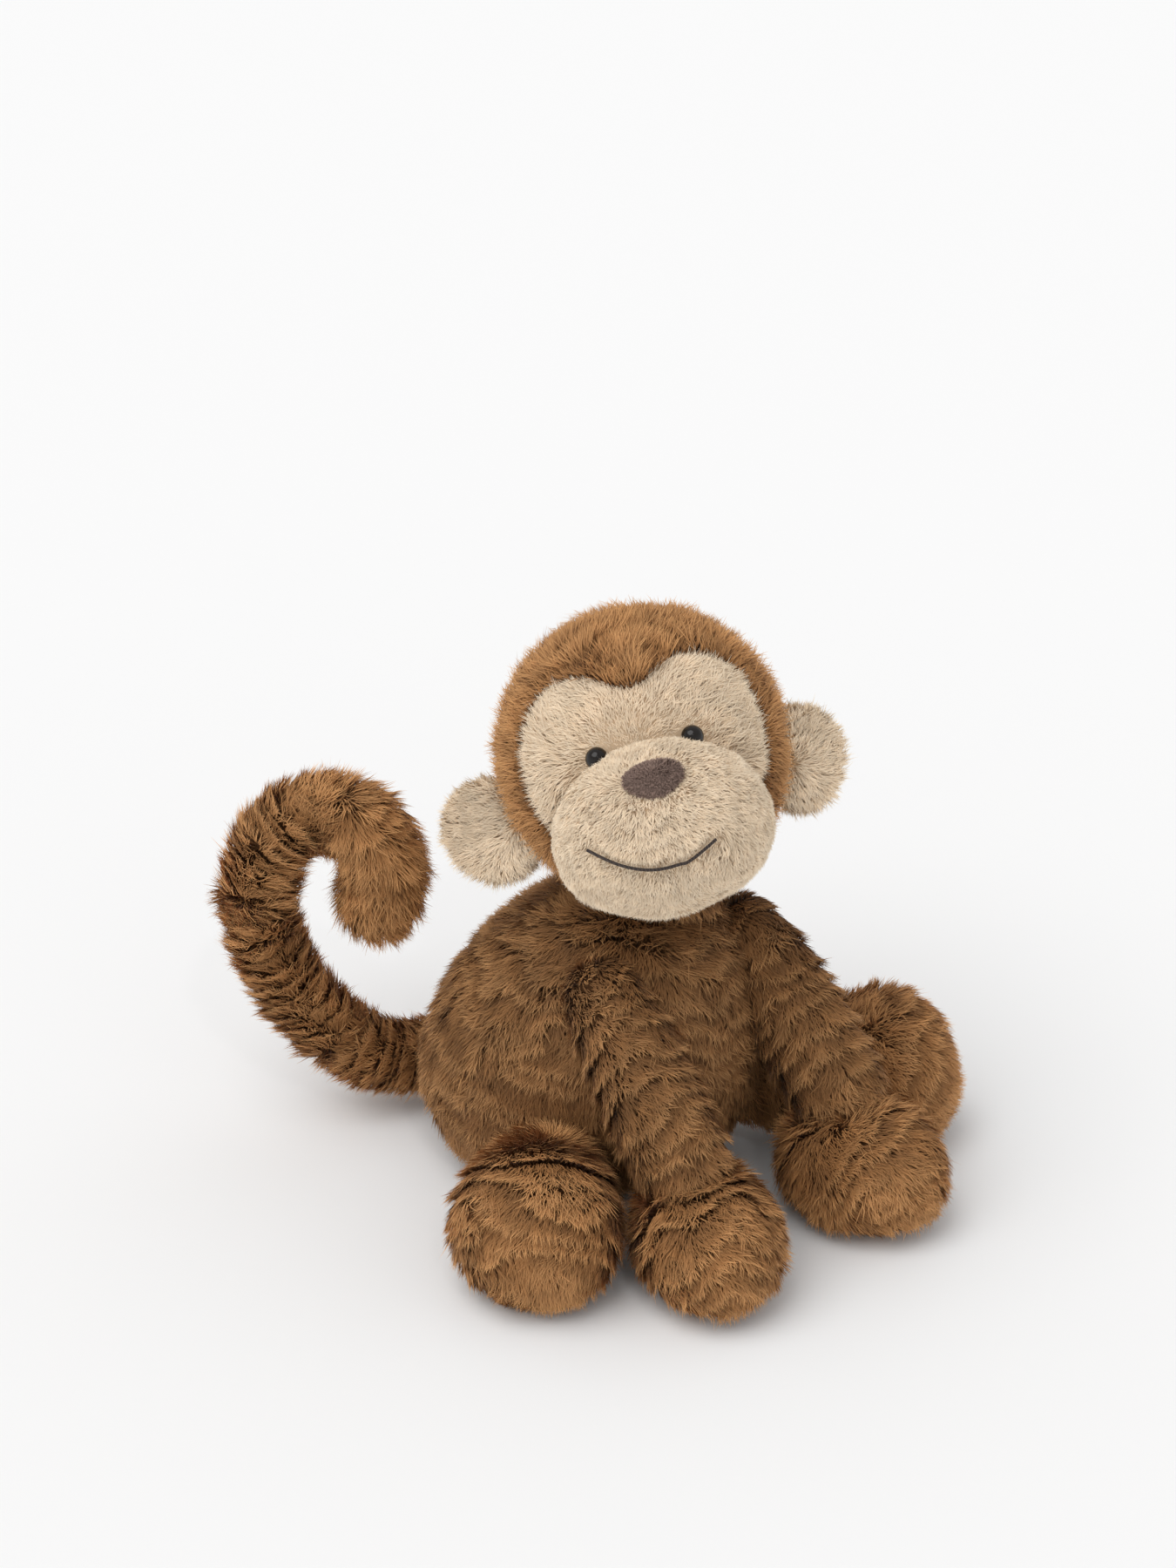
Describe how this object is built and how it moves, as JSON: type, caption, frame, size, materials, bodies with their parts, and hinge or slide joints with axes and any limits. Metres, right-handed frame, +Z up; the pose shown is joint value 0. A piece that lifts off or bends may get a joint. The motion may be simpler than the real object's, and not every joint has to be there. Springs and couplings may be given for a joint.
{
  "type": "stuffed monkey",
  "caption": "Seated plush monkey with long brown pile, cream face and ears, resting on its hands, with a curled tail; head, ears, limbs and tail move.",
  "frame": {"origin": "the middle of the flat seat that the toy sits on", "axes": "+Z up; -Y is the way the body faces; +X is the toy's own left"},
  "size_m": [0.1864, 0.2034, 0.1909],
  "materials": {
    "brown_pile": "matte",
    "cream_pile": "matte",
    "nose_plush": "matte",
    "thread": "matte",
    "eye": "gloss",
    "washer": "matte",
    "filling": "matte",
    "pouch": "matte"
  },
  "bodies": {
    "torso": {"body_cover": "brown_pile", "body_filling": "filling", "pellet_pouch": "pouch"},
    "neck": {"neck_cover": "brown_pile", "neck_filling": "filling"},
    "head": {"head_cover": "brown_pile", "face_panel": "cream_pile", "muzzle_cover": "cream_pile", "muzzle_filling": "filling", "head_filling": "filling", "nose": "nose_plush", "mouth_stitch": "thread", "left_eye": "eye", "right_eye": "eye", "left_eye_washer": "washer", "right_eye_washer": "washer"},
    "left_ear": {"left_ear_front": "cream_pile", "left_ear_back": "cream_pile"},
    "left_arm": {"left_arm_cover": "brown_pile", "left_arm_filling": "filling"},
    "left_hand": {"left_hand_cover": "brown_pile", "left_hand_filling": "filling"},
    "left_leg": {"left_leg_cover": "brown_pile", "left_foot_sole": "brown_pile", "left_leg_filling": "filling"},
    "right_ear": {"right_ear_front": "cream_pile", "right_ear_back": "cream_pile"},
    "right_arm": {"right_arm_cover": "brown_pile", "right_arm_filling": "filling"},
    "right_hand": {"right_hand_cover": "brown_pile", "right_hand_filling": "filling"},
    "right_leg": {"right_leg_cover": "brown_pile", "right_foot_sole": "brown_pile", "right_leg_filling": "filling"},
    "tail_1": {"tail_1_cover": "brown_pile", "tail_1_filling": "filling"},
    "tail_2": {"tail_2_cover": "brown_pile", "tail_2_filling": "filling"},
    "tail_3": {"tail_3_cover": "brown_pile", "tail_3_filling": "filling"},
    "tail_4": {"tail_4_cover": "brown_pile", "tail_4_filling": "filling"}
  },
  "joints": [
    {"name": "neck_turn", "type": "hinge", "parent": "torso", "child": "neck", "pos_m": [0.008, -0.0365, 0.106], "axis": [0, 0, 1], "range_deg": [-25, 55]},
    {"name": "head_nod", "type": "hinge", "parent": "neck", "child": "head", "pos_m": [0.008, -0.0365, 0.106], "axis": [0.8039, -0.5948, 0], "range_deg": [-7, 8]},
    {"name": "left_ear_fold", "type": "hinge", "parent": "head", "child": "left_ear", "pos_m": [0.04456, -0.04439, 0.1437], "axis": [0.0199, 0.362, 0.932], "range_deg": [-12, 12], "stiffness_Nm_per_rad": 0.004},
    {"name": "right_ear_fold", "type": "hinge", "parent": "head", "child": "right_ear", "pos_m": [-0.02386, -0.00013, 0.12796], "axis": [0.0199, 0.362, 0.932], "range_deg": [-12, 12], "stiffness_Nm_per_rad": 0.004},
    {"name": "left_shoulder_swing", "type": "hinge", "parent": "torso", "child": "left_arm", "pos_m": [0.029, -0.046, 0.087], "axis": [1, 0, 0], "range_deg": [-40, 1]},
    {"name": "right_shoulder_swing", "type": "hinge", "parent": "torso", "child": "right_arm", "pos_m": [-0.029, -0.046, 0.087], "axis": [1, 0, 0], "range_deg": [-40, 1]},
    {"name": "left_wrist_bend", "type": "hinge", "parent": "left_arm", "child": "left_hand", "pos_m": [0.0378, -0.0815, 0.0445], "axis": [1, 0, 0], "range_deg": [-12, 12]},
    {"name": "right_wrist_bend", "type": "hinge", "parent": "right_arm", "child": "right_hand", "pos_m": [-0.0272, -0.0795, 0.0445], "axis": [1, 0, 0], "range_deg": [-12, 12]},
    {"name": "left_hip_lift", "type": "hinge", "parent": "torso", "child": "left_leg", "pos_m": [0.041, -0.0396, 0.025], "axis": [-0.6094, -0.7929, 0], "range_deg": [0, 15]},
    {"name": "right_hip_lift", "type": "hinge", "parent": "torso", "child": "right_leg", "pos_m": [-0.0425, -0.0376, 0.025], "axis": [-0.6428, 0.766, 0], "range_deg": [0, 15]},
    {"name": "tail_wag", "type": "hinge", "parent": "torso", "child": "tail_1", "pos_m": [-0.019, 0.047, 0.0155], "axis": [0, 0, 1], "range_deg": [-25, 2]},
    {"name": "tail_curl", "type": "hinge", "parent": "tail_1", "child": "tail_2", "pos_m": [-0.05619, 0.06216, 0.032], "axis": [0.6428, 0.766, 0], "range_deg": [-10, 3]},
    {"name": "tail_curl_middle", "type": "hinge", "parent": "tail_2", "child": "tail_3", "pos_m": [-0.07343, 0.07662, 0.086], "axis": [0.6428, 0.766, 0], "range_deg": [-10, 3]},
    {"name": "tail_curl_tip", "type": "hinge", "parent": "tail_3", "child": "tail_4", "pos_m": [-0.05083, 0.05766, 0.1145], "axis": [0.6428, 0.766, 0], "range_deg": [-10, 3]}
  ],
  "couplings": [
    {"joint": "tail_curl_middle", "follows": "tail_curl", "ratio": 1},
    {"joint": "tail_curl_tip", "follows": "tail_curl", "ratio": 1}
  ]
}
